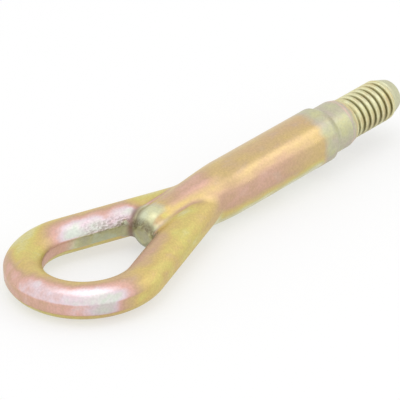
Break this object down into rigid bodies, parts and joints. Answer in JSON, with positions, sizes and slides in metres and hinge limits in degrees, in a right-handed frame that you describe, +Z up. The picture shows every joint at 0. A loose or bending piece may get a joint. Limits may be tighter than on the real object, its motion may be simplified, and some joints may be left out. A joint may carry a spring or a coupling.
{
  "type": "tow hook",
  "caption": "Forged steel screw-in tow hook: a teardrop eye on a round shank that steps down through a plain collar to a coarse threaded end.",
  "frame": {"origin": "on the screw axis, where the shoulder's bevel meets the collar", "axes": "+X along the screw axis towards the threaded tip, which the lying part leans up by 2.7 degrees; +Z up; the eye lies in the XY plane but for that lean"},
  "size_m": [0.1898, 0.0588, 0.0236],
  "materials": {
    "yellow_zinc_steel": "zinc plated with yellow passivation, satin"
  },
  "bodies": {
    "root": {"tow_hook": "yellow_zinc_steel"}
  },
  "joints": []
}
